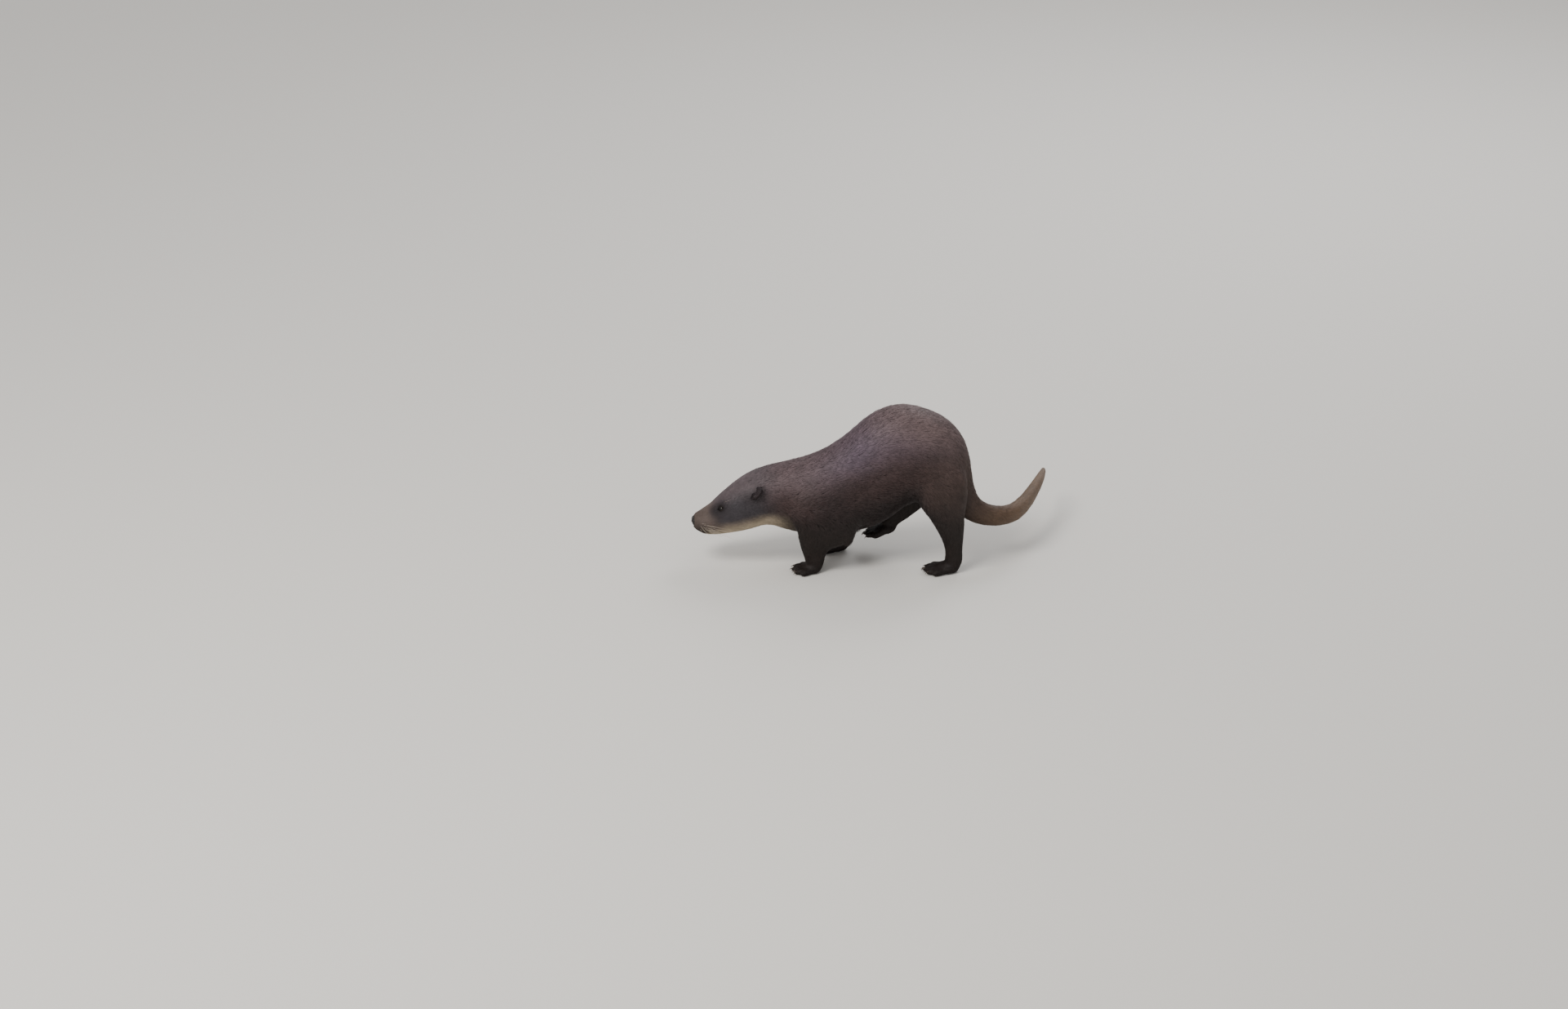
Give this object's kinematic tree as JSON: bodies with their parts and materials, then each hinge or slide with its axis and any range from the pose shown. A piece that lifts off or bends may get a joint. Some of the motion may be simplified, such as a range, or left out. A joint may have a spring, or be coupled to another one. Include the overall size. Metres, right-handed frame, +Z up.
{
  "type": "eurasian otter",
  "caption": "Life-size still model of a Eurasian otter walking with arched back and low head, resting on its feet.",
  "frame": {"origin": "on the floor, under the middle of the whole animal's box", "axes": "+X from the nose towards the tail, +Y to the animal's right side, +Z up"},
  "size_m": [0.5722, 0.3066, 0.2599],
  "materials": {
    "back_coat": "sleek short fur, purplish grey-brown",
    "head_coat": "sleek short fur, grey-brown",
    "throat_coat": "sleek short fur, cream",
    "leg_coat": "very short fur, near-black brown",
    "eye": "glossy, near-black brown",
    "nose_skin": "finely pebbled damp skin",
    "claw": "smooth horn",
    "whisker": "stiff pale hair"
  },
  "bodies": {
    "root": {"nose": "nose_skin", "eye_left": "eye", "eye_right": "eye", "ear_left": "head_coat", "ear_right": "head_coat", "lower_jaw": "throat_coat", "head": "head_coat", "neck": "back_coat", "chest": "back_coat", "abdomen": "back_coat", "rump": "back_coat", "tail_root": "back_coat", "tail_middle": "back_coat", "tail_tip": "back_coat", "upper_arm_left": "back_coat", "forearm_left": "leg_coat", "forefoot_left": "leg_coat", "upper_arm_right": "back_coat", "forearm_right": "leg_coat", "forefoot_right": "leg_coat", "thigh_left": "back_coat", "shank_left": "leg_coat", "hindfoot_left": "leg_coat", "thigh_right": "back_coat", "shank_right": "leg_coat", "hindfoot_right": "leg_coat"}
  },
  "joints": []
}
